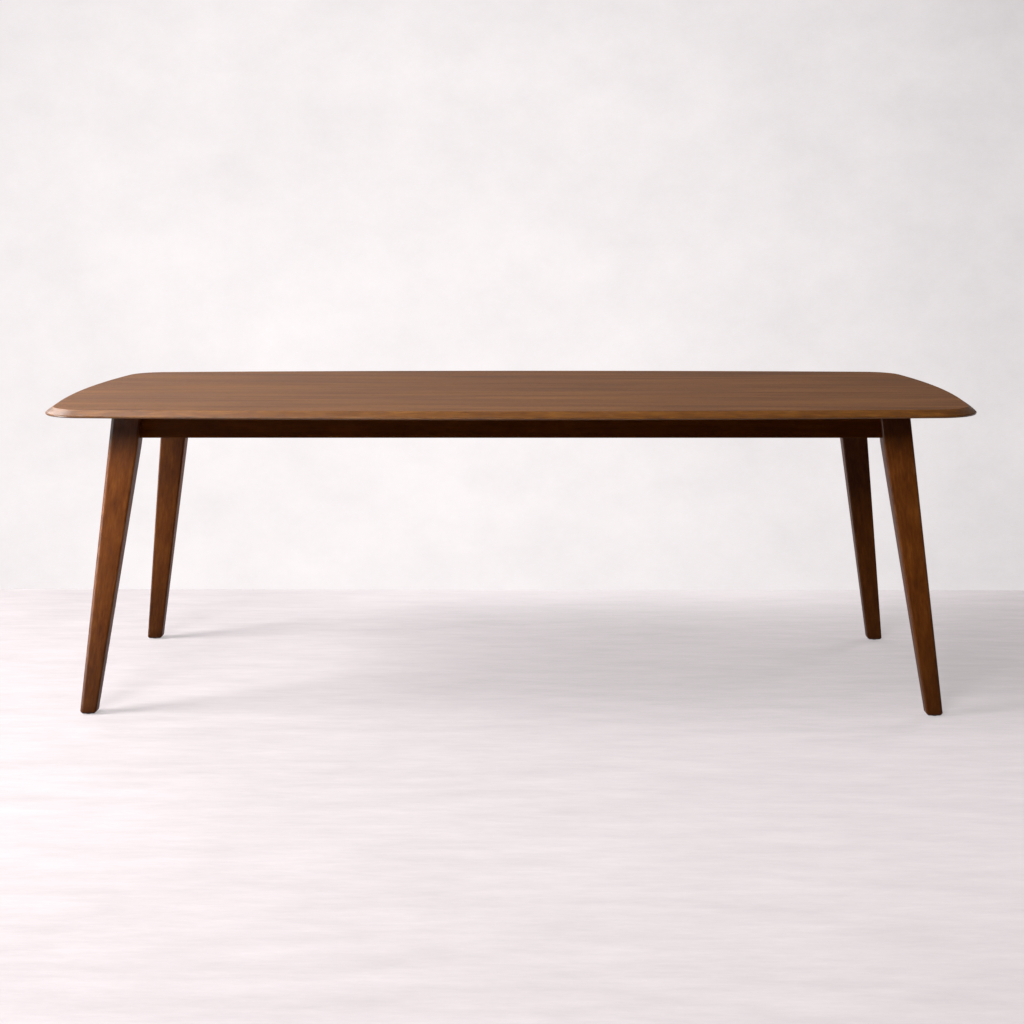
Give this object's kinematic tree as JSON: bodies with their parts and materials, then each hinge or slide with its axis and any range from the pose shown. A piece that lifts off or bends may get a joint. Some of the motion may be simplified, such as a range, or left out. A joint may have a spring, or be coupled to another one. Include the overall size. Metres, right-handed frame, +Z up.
{
  "type": "dining table",
  "caption": "Long dining table: boat-shaped wooden top with a bevelled edge on splayed, tapered legs, joined by recessed aprons and bolted corner blocks.",
  "frame": {"origin": "on the floor, under the middle of the top", "axes": "+X along the length of the top, +Y across its width towards the back, +Z up"},
  "size_m": [2.222, 0.9996, 0.75],
  "materials": {
    "walnut_veneer": "walnut-stained veneer under satin lacquer",
    "backing_veneer": "plain veneer under a thin sealer",
    "core_board": "raw fibreboard, unseen",
    "stained_lipping": "walnut-stained solid wood under satin lacquer",
    "stained_leg": "walnut-stained solid wood under satin lacquer",
    "stained_apron": "walnut-stained solid wood under satin lacquer",
    "bare_wood": "bare planed hardwood",
    "zinc_steel": "zinc plated",
    "glide_nylon": "dark moulded nylon"
  },
  "bodies": {
    "root": {"apron_back": "stained_apron", "apron_front": "stained_apron", "apron_left": "stained_apron", "apron_right": "stained_apron", "bolt_nuts": "zinc_steel", "bolt_washers": "zinc_steel", "bracket_screws": "zinc_steel", "corner_block_back_left": "bare_wood", "corner_block_back_right": "bare_wood", "corner_block_front_left": "bare_wood", "corner_block_front_right": "bare_wood", "corner_block_screws": "zinc_steel", "cross_rail_left": "bare_wood", "cross_rail_middle": "bare_wood", "cross_rail_right": "bare_wood", "foot_glide_back_left": "glide_nylon", "foot_glide_back_right": "glide_nylon", "foot_glide_front_left": "glide_nylon", "foot_glide_front_right": "glide_nylon", "hanger_bolts": "zinc_steel", "leg_back_left": "stained_leg", "leg_back_right": "stained_leg", "leg_front_left": "stained_leg", "leg_front_right": "stained_leg", "lipping_back": "stained_lipping", "lipping_front": "stained_lipping", "lipping_left": "stained_lipping", "lipping_right": "stained_lipping", "rail_screws": "zinc_steel", "top_backing_veneer": "backing_veneer", "top_brackets": "zinc_steel", "top_core": "core_board", "top_face_veneer": "walnut_veneer"}
  },
  "joints": []
}
